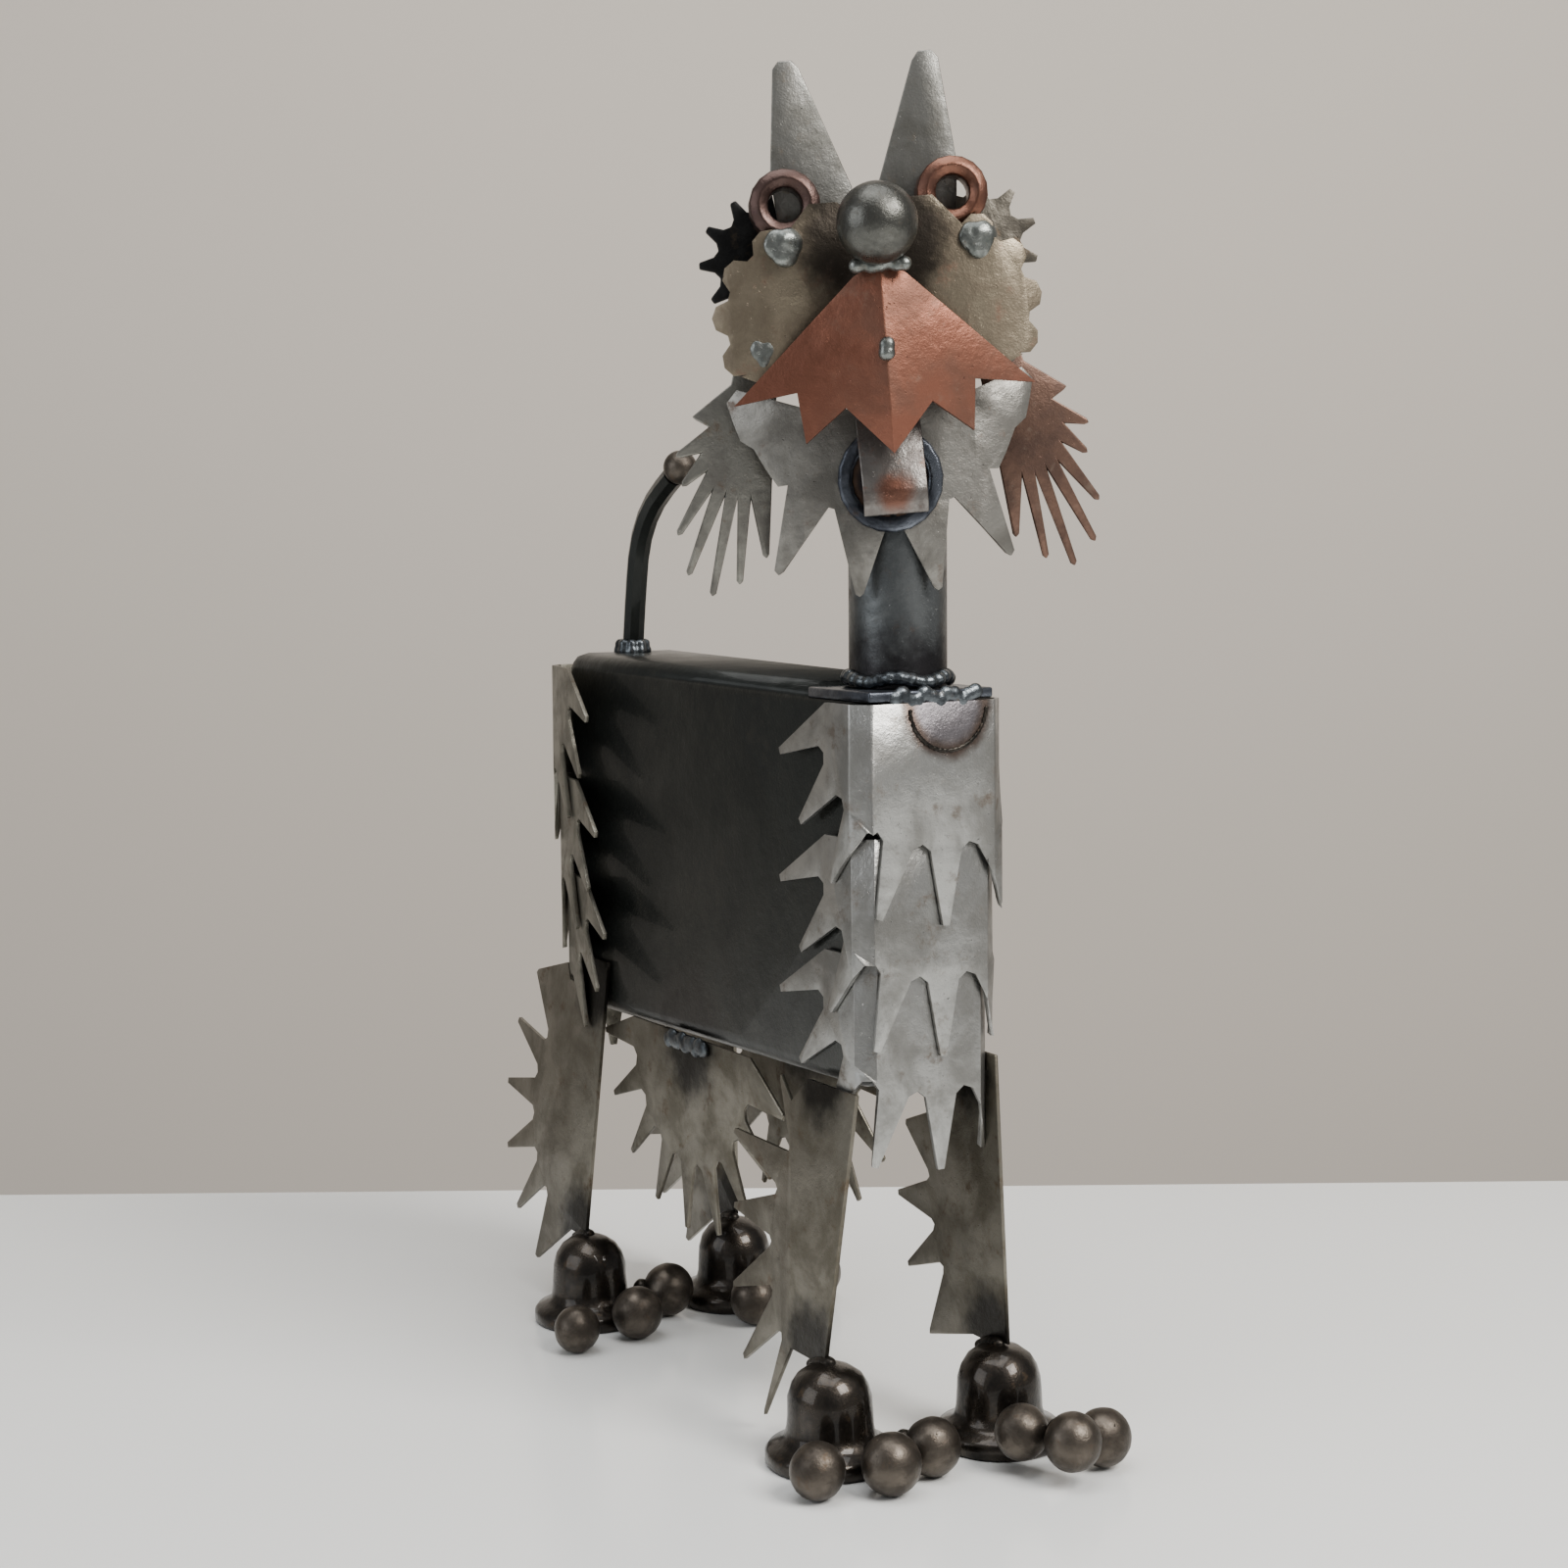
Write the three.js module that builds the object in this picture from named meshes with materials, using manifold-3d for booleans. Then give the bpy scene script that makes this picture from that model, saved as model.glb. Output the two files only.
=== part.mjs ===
// A standing dog welded together from scrap: a flat steel box for the body, half tooth wheels bent round
// the chest and the rump, slices of tooth wheel for legs and belly fringe, bell caps with ball toes for
// feet, a pipe neck, and a face of gears, washers and folded plate.
// Millimetres. The dog stands on z = 0 and faces -Y, +X is its left side and +Z is up.
import * as THREE from "three";
import { mergeVertices } from "three/addons/utils/BufferGeometryUtils.js";
import Module from "manifold-3d";

const wasm = await Module();
wasm.setup();

// Driving dimensions.
const sheet = 1.3; // thickness of every cut plate
const gap = 0.3; // air kept between pieces that are welded together
const step = sheet + gap;

const body = {
  halfWidth: 22, front: 4.8, rear: 211, bottomFront: 113.4, bottomRear: 108.4, topFront: 234.8, topRear: 237.6,
  edge: 5.5, corner: 3,
};

// Tooth wheels that the plates are cut from: tip and root radius, angle between teeth, in degrees.
const saddleWheel = { tip: 80.5, root: 56, pitch: 17.14, gullet: 3 };
const bellyWheel = { tip: 64.7, root: 41, pitch: 20.4, gullet: 3 };
const shinWheel = { tip: 65, root: 40, pitch: 21.85, gullet: 2.6 };
const faceWheel = { tip: 19.5, root: 14, pitch: 360 / 11, gullet: 2 };

// Saddle plates: three on the chest, three on the rump, each tucked one sheet deeper than the one above.
const saddle = { halfWidth: 26.9, bend: 5, cut: 13, shoulder: 47.5, offset: 4.2 };
const saddleDrops = [0, 40, 75.5]; // how far the wheel centres step down
const chest = { face: 0, top: 230, turn: 90, heading: 0 };
const rump = { face: 216.5, top: 233, turn: 78, heading: Math.PI };

const neck = { radius: 15, y: 20, bottom: 234, top: 371 };
const collar = { left: 21.5, right: -22.5, front: 0.5, back: 36, bottom: 230.6, top: 233.7 };
const tail = { radius: 4, foot: [200, 236.6], ballRadius: 5.9 };

const bell = { rim: 20, rimHeight: 5, waist: 13.6, waistHeight: 11, height: 31, crown: 6 };

// The head sits turned and rolled on the neck: pivot height, sideways shift, turn and roll in degrees.
const head = { z: 288, shift: -3, turn: -27, roll: -4.3 };

const steel = (color, roughness, metalness) =>
  new THREE.MeshStandardMaterial({ color, roughness, metalness });
const darkSteel = steel(0x2a2f2b, 0.38, 0.85);
const brightSteel = steel(0x9a9c9e, 0.34, 0.9);
const brownSteel = steel(0x6f695c, 0.45, 0.85);
const castIron = steel(0x3a3430, 0.5, 0.8);
const heatedCopper = steel(0x8f5a48, 0.42, 0.85);
const heatedBronze = steel(0x776549, 0.4, 0.85);
const nosePolish = steel(0x4d4f49, 0.2, 0.95);

const dog = new THREE.Group();
const degrees = THREE.MathUtils.degToRad;

function add(name, geometry, material, parent = dog) {
  const mesh = new THREE.Mesh(geometry, material);
  mesh.name = name;
  parent.add(mesh);
  return mesh;
}

// ---- Solids ----

function closed(geometry) {
  const bare = geometry.index ? geometry.toNonIndexed() : geometry.clone();
  bare.deleteAttribute("normal");
  bare.deleteAttribute("uv");
  const merged = mergeVertices(bare, 1e-3);
  merged.computeVertexNormals();
  return merged;
}

function toSolid(geometry) {
  const merged = closed(geometry);
  return new wasm.Manifold(
    new wasm.Mesh({
      numProp: 3,
      vertProperties: merged.attributes.position.array,
      triVerts: new Uint32Array(merged.index.array),
    }),
  );
}

function toGeometry(solid) {
  const mesh = solid.getMesh();
  return new THREE.BufferGeometry()
    .setAttribute("position", new THREE.BufferAttribute(mesh.vertProperties, 3))
    .setIndex(new THREE.BufferAttribute(mesh.triVerts, 1));
}

const cutAway = (geometry, tool) => toGeometry(toSolid(geometry).subtract(toSolid(tool)));

// A profile of [radius, height] pairs turned about Z.
function turned(profile, segments) {
  const points = profile.map(([radius, height]) => new THREE.Vector2(radius, height));
  return new THREE.LatheGeometry(points, segments).rotateX(Math.PI / 2);
}

// ---- Tooth outlines ----

// Points of a run of teeth, clockwise seen from the front; angles are measured from straight down,
// positive towards +x. Each tooth has a blunt tip, and each gullet between two teeth is rounded.
function teeth(wheel, first, count, blunt = 1.1, centre = [0, 0]) {
  const points = [];
  const at = (radius, angle) =>
    points.push([centre[0] + radius * Math.sin(degrees(angle)), centre[1] - radius * Math.cos(degrees(angle))]);
  const tipTurn = THREE.MathUtils.radToDeg(blunt / wheel.tip);
  const gulletTurn = THREE.MathUtils.radToDeg(wheel.gullet / wheel.root);
  for (let i = 0; i < count; i += 1) {
    const angle = first + i * wheel.pitch;
    at(wheel.tip, angle - tipTurn);
    at(wheel.tip, angle + tipTurn);
    if (i < count - 1) {
      const middle = angle + wheel.pitch / 2;
      at(wheel.root + wheel.gullet * 0.6, middle - gulletTurn);
      at(wheel.root, middle);
      at(wheel.root + wheel.gullet * 0.6, middle + gulletTurn);
    }
  }
  return points;
}

function shapeOf(points) {
  return new THREE.Shape(points.map(([x, y]) => new THREE.Vector2(x, y)));
}

// A flat plate: its outline lies in x and z, and its thickness runs back along +y from y = 0.
function flatPlate(points, thickness = sheet) {
  return new THREE.ExtrudeGeometry(shapeOf(points), {
    depth: thickness,
    bevelEnabled: false,
    curveSegments: 6,
  })
    .rotateX(Math.PI / 2)
    .translate(0, thickness, 0);
}

// ---- Bent sheet ----

// Triangles of a geometry cut along the planes x = lines[i], so that the sheet can fold there.
function scored(geometry, lines) {
  const source = geometry.index ? geometry.toNonIndexed() : geometry;
  const position = source.attributes.position;
  let faces = [];
  for (let i = 0; i < position.count; i += 3) {
    faces.push([0, 1, 2].map((k) => new THREE.Vector3().fromBufferAttribute(position, i + k)));
  }
  const crossing = (a, b, line) => {
    const [left, right] = a.x < b.x ? [a, b] : [b, a];
    const point = left.clone().lerp(right, (line - left.x) / (right.x - left.x));
    point.x = line;
    return point;
  };
  for (const line of lines) {
    const split = [];
    for (const face of faces) {
      for (const side of [-1, 1]) {
        const kept = [];
        for (let k = 0; k < 3; k += 1) {
          const a = face[k];
          const b = face[(k + 1) % 3];
          if ((a.x - line) * side >= 0) kept.push(a);
          if ((a.x - line) * (b.x - line) < 0) kept.push(crossing(a, b, line));
        }
        const flat = kept.every((point) => point.x === line);
        for (let k = 1; k + 1 < kept.length && !flat; k += 1) {
          split.push([kept[0], kept[k], kept[k + 1]]);
        }
      }
    }
    faces = split;
  }
  return faces;
}

// A bend profile for one half of a sheet, from its centre line out: a straight, an arc, a straight.
// It turns the distance along the sheet and the depth behind its face into x and y.
function bender(straight, radius, turn) {
  const angle = degrees(turn);
  const arc = radius * angle;
  return {
    lines: (facets) => Array.from({ length: facets + 1 }, (_, i) => straight + (arc * i) / facets),
    place: (distance, depth) => {
      const run = Math.abs(distance);
      const bent = THREE.MathUtils.clamp((run - straight) / radius, 0, angle);
      const beyond = Math.max(run - straight - arc, 0);
      const x =
        Math.min(run, straight) +
        (radius - depth) * Math.sin(bent) +
        beyond * Math.cos(bent);
      const y = radius - (radius - depth) * Math.cos(bent) + beyond * Math.sin(bent);
      return [Math.sign(distance) * x, y];
    },
  };
}

function bentPlate(points, bend, facets, thickness = sheet) {
  const half = bend.lines(facets);
  const lines = [...half.map((line) => -line), ...half];
  const flat = flatPlate(points, thickness);
  flat.deleteAttribute("normal");
  flat.deleteAttribute("uv");
  const vertices = scored(flat, lines).flatMap((face) =>
    face.flatMap((point) => {
      const [x, y] = bend.place(point.x, point.y);
      return [x, y, point.z];
    }),
  );
  const geometry = new THREE.BufferGeometry();
  geometry.setAttribute("position", new THREE.Float32BufferAttribute(vertices, 3));
  return closed(geometry);
}

// ---- Body: a flat welded box with rounded edges, a little deeper at the rear ----

function roundedOutline(corners, radius) {
  const shape = new THREE.Shape();
  corners.forEach((corner, i) => {
    const before = corners[(i + corners.length - 1) % corners.length];
    const after = corners[(i + 1) % corners.length];
    const entry = corner.clone().add(before.clone().sub(corner).setLength(radius));
    const exit = corner.clone().add(after.clone().sub(corner).setLength(radius));
    if (i === 0) shape.moveTo(entry.x, entry.y);
    else shape.lineTo(entry.x, entry.y);
    shape.quadraticCurveTo(corner.x, corner.y, exit.x, exit.y);
  });
  return shape.closePath();
}

const inset = body.edge;
const bodySide = [
  [body.front + inset, body.bottomFront + inset],
  [body.rear - inset, body.bottomRear + inset],
  [body.rear - inset, body.topRear - inset],
  [body.front + inset, body.topFront - inset],
].map(([y, z]) => new THREE.Vector2(y, z));
const bodyBox = new THREE.ExtrudeGeometry(roundedOutline(bodySide, body.corner), {
  depth: 2 * (body.halfWidth - inset),
  bevelEnabled: true,
  bevelSize: inset,
  bevelThickness: inset,
  bevelSegments: 3,
  curveSegments: 3,
})
  .translate(0, 0, inset - body.halfWidth)
  .rotateX(Math.PI / 2)
  .rotateZ(Math.PI / 2);

// The collar plate is let into the top of the box, under the neck.
function collarBlock(grow) {
  const size = [
    collar.left - collar.right + 2 * grow,
    collar.back - collar.front + 2 * grow,
    collar.top - collar.bottom + 2 * grow,
  ];
  return new THREE.BoxGeometry(...size).translate(
    (collar.left + collar.right) / 2,
    (collar.front + collar.back) / 2,
    (collar.top + collar.bottom) / 2,
  );
}

const bodyHead = collarBlock(gap).translate(0, 0, collar.top - collar.bottom);
add("body_box", cutAway(cutAway(bodyBox, collarBlock(gap)), bodyHead), darkSteel);
add("neck_collar", collarBlock(0), darkSteel);

// ---- Saddle plates round the chest and the rump ----

const saddleTeeth = 9;

// The flat blank that is bent round the body; it grows past its true edges where it serves as a cutter.
function saddleBlank(grow) {
  const reach = 9 * grow;
  const wheel = { ...saddleWheel, tip: saddleWheel.tip + reach, root: saddleWheel.root + reach };
  const shoulder = saddle.shoulder + reach;
  return [
    [-shoulder, reach - saddle.cut],
    ...teeth(wheel, -wheel.pitch * ((saddleTeeth - 1) / 2), saddleTeeth),
    [shoulder, reach - saddle.cut],
  ].map(([x, z]) => [x + saddle.offset, z]);
}

const tiers = ["upper", "middle", "lower"];

function saddlePlate(level, end, grow = 0) {
  const radius = saddle.bend + grow;
  const bend = bender(saddle.halfWidth - level * step - saddle.bend, radius, end.turn);
  return bentPlate(saddleBlank(grow), bend, 1, sheet + 2 * grow)
    .translate(0, level * step - grow, end.top + saddle.cut - saddleDrops[level])
    .rotateZ(end.heading)
    .translate(0, end.face, 0);
}

tiers.forEach((tier, level) => {
  add("chest_plate_" + tier, saddlePlate(level, chest), brightSteel);
  add("rump_plate_" + tier, saddlePlate(level, rump), brownSteel);
});

// ---- Legs: slices of tooth wheel with a straight front edge ----

// The front legs are cut by hand, so their tooth tips and gullets are given one by one, from the foot up,
// each as its place along y and its height.
function handCut(tips, gullets, blunt = 0.9, round = 1.8) {
  const point = ([y, z]) => new THREE.Vector2(y, z);
  const outline = [];
  tips.map(point).forEach((tip, i) => {
    const below = point(gullets[Math.max(i - 1, 0)]);
    const above = point(gullets[Math.min(i, gullets.length - 1)]);
    const across = above.equals(below) ? new THREE.Vector2(0, 1) : above.clone().sub(below).normalize();
    outline.push(tip.clone().addScaledVector(across, -blunt), tip.clone().addScaledVector(across, blunt));
    if (i < gullets.length) {
      const bottom = point(gullets[i]);
      const along = point(tips[i + 1]).sub(tip).normalize();
      const outward = new THREE.Vector2(along.y, -along.x).multiplyScalar(round * 0.7);
      outline.push(
        bottom.clone().addScaledVector(along, -round).add(outward),
        bottom.clone(),
        bottom.clone().addScaledVector(along, round).add(outward),
      );
    }
  });
  return outline.map(({ x, y }) => [x, y]);
}

const rearTeeth = (y) => teeth(shinWheel, 24, 6, 1, [y, 72]);

const legs = {
  front_right: {
    side: -1, top: 23.9, bottom: 32, heel: [[10.8, 29], [31, 29]],
    teeth: handCut(
      [[44, 5.1], [59.4, 18.5], [69.3, 39.3], [72.6, 64.4], [76, 88], [49.4, 110.3]],
      [[37.2, 32.2], [44.5, 43.8], [47.5, 58.6], [46.4, 75.6], [41.1, 88.5]],
    ),
    crown: [[42, 104], [33, 112.8], [4.7, 112.8]],
  },
  front_left: {
    side: 1, top: 24.1, bottom: 22.8, heel: [[-5.2, 29], [14, 29]],
    teeth: handCut(
      [[38.6, 23.2], [51.8, 42.2], [58.2, 64.6], [54, 89]],
      [[31.1, 46.5], [36.5, 59], [39.7, 74]],
    ),
    crown: [[38, 96], [34, 120], [3.6, 120]],
  },
  rear_right: {
    side: -1, top: 23.6, bottom: 33.6, heel: [[175, 29], [188, 29]],
    teeth: rearTeeth(187.5), crown: [[191, 128], [177, 128]],
  },
  rear_left: {
    side: 1, top: 23.6, bottom: 22.6, heel: [[168, 29], [181, 29]],
    teeth: rearTeeth(180), crown: [[184, 128], [170, 128]],
  },
};

// ---- Feet: bell caps with ball toes ----

const bellProfile = [
  [0, 0],
  [bell.rim, 0],
  [bell.rim, bell.rimHeight],
  [bell.waist + 1.6, bell.rimHeight + 2],
  [bell.waist, bell.waistHeight],
  [bell.waist - 0.6, bell.height - 10],
  [bell.waist - 3.6, bell.height - 4.2],
  [bell.crown, bell.height - 0.8],
  [0, bell.height],
];
const bellSides = 16;

// Toes: [place along x and y from the bell's axis, height of the centre, radius].
const feet = {
  front_right: { at: [-32, 10], toes: [[-19, -24.6, 8.8, 8.7], [1.4, -32.6, 9.5, 9.4], [19.8, -26.4, 9.1, 9]] },
  front_left: { at: [22, -1.8], toes: [[-9.6, -25.6, 12.4, 8.6], [-3.1, -42.5, 13.4, 9], [13.6, -35.1, 9.3, 9]] },
  rear_right: { at: [-33.6, 174.7], toes: [[-20.5, -32.5, 8.3, 8.2], [4, -29.8, 9.3, 9.2], [25.3, -12.2, 9.6, 9.5]] },
  rear_left: { at: [21.4, 167], toes: [[-8, -30, 9.4, 9.3], [12, -29.6, 9.4, 9.3], [25.8, -15.5, 9.6, 9.5]] },
};

const grownBell = turned(
  bellProfile.map(([radius, height]) => [radius > 0 ? radius + gap : 0, height > 0 ? height + gap : -gap]),
  bellSides,
);

const legTopHeight = 115;
const legFootHeight = 31;

function legPlate({ side, top, bottom, heel, teeth: cut, crown }) {
  const lean = Math.atan2(bottom - top, legTopHeight - legFootHeight);
  return flatPlate([...heel, ...cut, ...crown])
    .rotateZ(Math.PI / 2)
    .translate(side > 0 ? sheet : 0, 0, -legTopHeight)
    .rotateY(-side * lean)
    .translate(side * top, 0, legTopHeight);
}

const rumpRoom = saddlePlate(tiers.length - 1, rump, gap);
for (const [name, foot] of Object.entries(feet)) {
  const leg = cutAway(legPlate(legs[name]), grownBell.clone().translate(foot.at[0], foot.at[1], 0));
  add("leg_" + name, cutAway(leg, rumpRoom), brownSteel);
  const ankle = new THREE.Group();
  ankle.position.set(foot.at[0], foot.at[1], 0);
  dog.add(ankle);
  add("foot_bell_" + name, turned(bellProfile, bellSides), castIron, ankle);
  foot.toes.forEach(([x, y, z, radius], i) => {
    const ball = new THREE.SphereGeometry(radius, 10, 7).rotateX(Math.PI / 2).translate(x, y, z);
    add("toe_ball_" + name + "_" + (i + 1), cutAway(ball, grownBell), castIron, ankle);
  });
}

// ---- Belly fringe: a half wheel welded under each side of the body ----

const fringe = { x: 20.7, y: 118.3, z: 108.6, top: 2.7, teeth: 9, first: -78.5 };
const fringeOutline = [
  [-bellyWheel.root - 1, fringe.top],
  ...teeth(bellyWheel, fringe.first, fringe.teeth, 1),
  [bellyWheel.root + 1, fringe.top],
];
for (const [name, side] of [["right", -1], ["left", 1]]) {
  const plate = flatPlate(fringeOutline).rotateZ(Math.PI / 2);
  const x = side > 0 ? fringe.x + sheet : -fringe.x;
  add("belly_fan_" + name, plate, brownSteel).position.set(x, fringe.y, fringe.z);
}

// ---- Neck and tail ----

const neckTube = turned(
  [[0, neck.bottom], [neck.radius, neck.bottom], [neck.radius, neck.top], [0, neck.top]],
  28,
).translate(0, neck.y, 0);
add("neck_tube", neckTube, darkSteel);

const tailCurve = new THREE.CatmullRomCurve3([
  new THREE.Vector3(0, tail.foot[0], tail.foot[1] + 1.5),
  new THREE.Vector3(0, 197, 258),
  new THREE.Vector3(0, 192.6, 277),
  new THREE.Vector3(0, 184, 289),
  new THREE.Vector3(0, 171.5, 297.5),
  new THREE.Vector3(0, 165.6, 300.6),
]);
const ring = new THREE.Shape().absarc(0, 0, tail.radius, 0, 2 * Math.PI);
const tailRod = new THREE.ExtrudeGeometry(ring, { extrudePath: tailCurve, steps: 9, curveSegments: 4 });
const tailBall = new THREE.SphereGeometry(tail.ballRadius, 12, 8).translate(0, 160.8, 303.4);
const grownBall = new THREE.SphereGeometry(tail.ballRadius + gap, 12, 8).translate(0, 160.8, 303.4);
add("tail_rod", cutAway(tailRod, grownBall), darkSteel);
add("tail_ball", tailBall, darkSteel);

// ---- Head ----

const turnedHead = new THREE.Group();
turnedHead.rotation.z = degrees(head.turn);
turnedHead.position.set(
  head.shift * Math.cos(degrees(head.turn)),
  neck.y + head.shift * Math.sin(degrees(head.turn)),
  head.z,
);
const face = new THREE.Group();
face.rotation.y = degrees(head.roll);
turnedHead.add(face);
dog.add(turnedHead);
dog.updateMatrixWorld(true);

// Room for the neck, seen from the face's own frame, where x is sideways, -y is forward and z is up.
const neckRoom = new THREE.CylinderGeometry(neck.radius + gap, neck.radius + gap, 160, 28)
  .rotateX(Math.PI / 2)
  .translate(0, neck.y, neck.top + gap - 80)
  .applyMatrix4(face.matrixWorld.clone().invert());

// A face piece stands forward of the neck's axis by `forward`.
function addFace(name, geometry, material, forward, x = 0, z = 0) {
  add(name, cutAway(geometry.translate(x, -forward, z), neckRoom), material, face);
}

// Beard: a plate with two long cheek spikes and two short ones that lie on the neck.
const beardHalf = [
  [0, -0.5],
  [10.6, -25],
  [11.8, -25.8],
  [13, -25],
  [17.2, 0.6],
  [19, 1.2],
  [34.2, -16.6],
  [35.8, -17.5],
  [36.9, -16],
  [30.6, 8.8],
  [33.6, 8.6],
  [36.4, 13],
  [40.2, 20.2],
  [44.2, 23],
  [46.2, 29],
  [47.6, 34.5],
  [44, 38],
  [20, 29.5],
];
const mirrored = (half) => [
  ...half.slice(1).map(([x, z]) => [-x, z]).reverse(),
  ...half,
];
const beardBend = bender(0.5, 100, 30);
addFace("beard_plate", bentPlate(mirrored(beardHalf), beardBend, 2), brownSteel, 16.7);

const mouthRing = turned([[11, 0], [16, 0], [15, 1.3], [12, 1.3], [11, 0]], 20);
addFace("mouth_ring", mouthRing.rotateX(Math.PI / 2), brownSteel, 17, 0, 8);

// Tongue: a bent strip seen from the side, forward distance and height, pulled out to its width.
const tongue = { width: 19, thickness: 1.6 };
const tongueLine = [[17.1, 29], [19, 24.5], [21.4, 17], [23.8, 10], [25, 4.4], [24.6, 0.6], [23, -2.4]];
const tongueShape = shapeOf([
  ...tongueLine.map(([forward, z]) => [-forward, z]),
  ...tongueLine.map(([forward, z]) => [-forward - tongue.thickness, z]).reverse(),
]);
const tongueGeometry = new THREE.ExtrudeGeometry(tongueShape, { depth: tongue.width, bevelEnabled: false })
  .rotateX(Math.PI / 2)
  .rotateZ(Math.PI / 2)
  .translate(-tongue.width / 2, 0, 0);
add("tongue_strip", tongueGeometry, brownSteel, face).position.x = 0.3;

// Snout: a folded plate with five points, its ridge forward.
const snout = { ridge: 35.5, fold: 18, foldRadius: 1.5 };
const widen = 1 / Math.cos(degrees(snout.fold));
const snoutHalf = [
  [0, 15],
  [12.6 * widen, 29.2],
  [24.6 * widen, 20],
  [26 * widen, 34.8],
  [44.3 * widen, 32.6],
  [7.5 * widen, 66],
  [3, 68],
  [0, 67.6],
];
const snoutOutline = [
  ...snoutHalf.slice(1, -1).map(([x, z]) => [-x, z]).reverse(),
  ...snoutHalf,
];
const snoutBend = bender(0.01, snout.foldRadius, snout.fold);
add("snout_plate", bentPlate(snoutOutline, snoutBend, 2), heatedCopper, face).position.y = -snout.ridge;

addFace("nose_ball", new THREE.SphereGeometry(11.7, 14, 10).rotateX(Math.PI / 2), nosePolish, 41, -0.3, 79.7);

// An open washer or short pipe, facing forward.
function eyeRing() {
  const profile = [[5, 0], [10.5, 0], [10.5, 8.6], [7.7, 10.4], [5, 8.6], [5, 0]];
  return turned(profile, 18).rotateX(Math.PI / 2);
}

const earOutline = (side) => [
  [side * 8, 78],
  [side * 26, 78],
  [side * 27.6, 99],
  [side * 24.4, 129.4],
  [side * 22.6, 131.6],
  [side * 18.6, 131.6],
  [side * 16.6, 129],
  [side * 3.8, 94],
];

// Cheek: a bulging plate with the round lobes of a worn wheel along its outer edge.
const cheek = { centre: [20.5, 56], tip: 28.5, gullet: 24.2, first: 65, pitch: 30, lobes: 4, front: 22.6 };
function cheekOutline(side) {
  const points = [[34, 37.5], [41.5, 41]];
  for (let i = 0; i < cheek.lobes; i += 1) {
    for (const [turn, radius] of [[-12, cheek.gullet], [-7, cheek.tip - 1], [0, cheek.tip], [7, cheek.tip - 1], [12, cheek.gullet]]) {
      const angle = degrees(cheek.first + i * cheek.pitch + turn);
      points.push([cheek.centre[0] + radius * Math.sin(angle), cheek.centre[1] - radius * Math.cos(angle)]);
    }
  }
  points.push([18, 88.5], [10, 88.5], [1, 82], [1, 60], [12, 42]);
  return points.map(([x, z]) => [side * x, z]);
}
const cheekBend = bender(26, 70, 20);

// Cheek fan: a hand of narrow fingers that hangs beside the beard.
const fanPalm = [40, 30];
const fanFingers = [
  [95, 16.5], [66, 24.5], [48.5, 28.5], [35.5, 41], [25.5, 50.5], [16, 54.5], [7.5, 50], [-3, 42.5],
];
function fanOutline(side) {
  const points = [[side * 34, 12], [side * 27, 62], [side * 37, 64], [side * 44, 40]];
  fanFingers.forEach(([angle, length], i) => {
    const out = [Math.sin(degrees(angle)), -Math.cos(degrees(angle))];
    const across = [out[1], -out[0]];
    const at = (along, beside) =>
      points.push([side * (fanPalm[0] + out[0] * along + across[0] * beside), fanPalm[1] + out[1] * along + across[1] * beside]);
    at(length - 1.2, -1);
    at(length, 0);
    at(length - 1.2, 1);
    const next = fanFingers[i + 1];
    if (next) {
      const middle = (angle + next[0]) / 2;
      const deep = Math.min(24.5, Math.min(length, next[1]) * 0.72);
      points.push([side * (fanPalm[0] + Math.sin(degrees(middle)) * deep), fanPalm[1] - Math.cos(degrees(middle)) * deep]);
    }
  });
  return points;
}

for (const [name, side] of [["right", -1], ["left", 1]]) {
  const sprocket = flatPlate(teeth(faceWheel, 8, 11, 0.9), 3);
  addFace("cheek_sprocket_" + name, sprocket, side < 0 ? darkSteel : brownSteel, 7, side * 31, 75);
  addFace("eye_ring_" + name, eyeRing(), heatedCopper, 10.2, side * 24.5, 89.3);
  addFace("ear_" + name, flatPlate(earOutline(side)), brownSteel, 9.9);
  addFace("cheek_plate_" + name, bentPlate(cheekOutline(side), cheekBend, 3), heatedBronze, cheek.front);
  addFace("cheek_fan_" + name, flatPlate(fanOutline(side)), brownSteel, 3.7);
}

// The frame's origin is the middle of the footprint, on the ground.
dog.updateMatrixWorld(true);
const bounds = new THREE.Box3().setFromObject(dog, true);
const middle = bounds.getCenter(new THREE.Vector3());
dog.position.set(-middle.x, -middle.y, -bounds.min.z);
dog.updateMatrixWorld(true);

export default dog;
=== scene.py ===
import math
import random

import bmesh
import bpy
from mathutils import Matrix, Vector, noise


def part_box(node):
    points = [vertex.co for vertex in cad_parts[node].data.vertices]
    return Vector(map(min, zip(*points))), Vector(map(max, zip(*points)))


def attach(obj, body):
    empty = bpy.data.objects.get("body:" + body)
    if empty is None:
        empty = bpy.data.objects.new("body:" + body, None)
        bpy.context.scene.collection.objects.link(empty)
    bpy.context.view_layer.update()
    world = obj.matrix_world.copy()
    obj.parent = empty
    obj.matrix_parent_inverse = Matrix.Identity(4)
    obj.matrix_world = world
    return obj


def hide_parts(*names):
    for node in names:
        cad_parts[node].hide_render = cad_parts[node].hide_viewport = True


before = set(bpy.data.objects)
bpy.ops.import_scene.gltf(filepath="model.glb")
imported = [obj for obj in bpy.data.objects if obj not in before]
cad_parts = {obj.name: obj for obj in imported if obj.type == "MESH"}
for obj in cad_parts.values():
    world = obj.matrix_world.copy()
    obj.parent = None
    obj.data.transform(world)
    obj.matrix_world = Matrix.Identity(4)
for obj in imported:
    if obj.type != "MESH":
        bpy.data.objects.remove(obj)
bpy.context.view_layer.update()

# ---- Where the dog stands, and the camera ----
# The dog faces -Y. Its own measures start under the front of the chest, midway between the sides.
MM = 0.001
body_low, body_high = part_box("body_box")
CHEST_FRONT_GAP = 4.8 * MM
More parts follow.
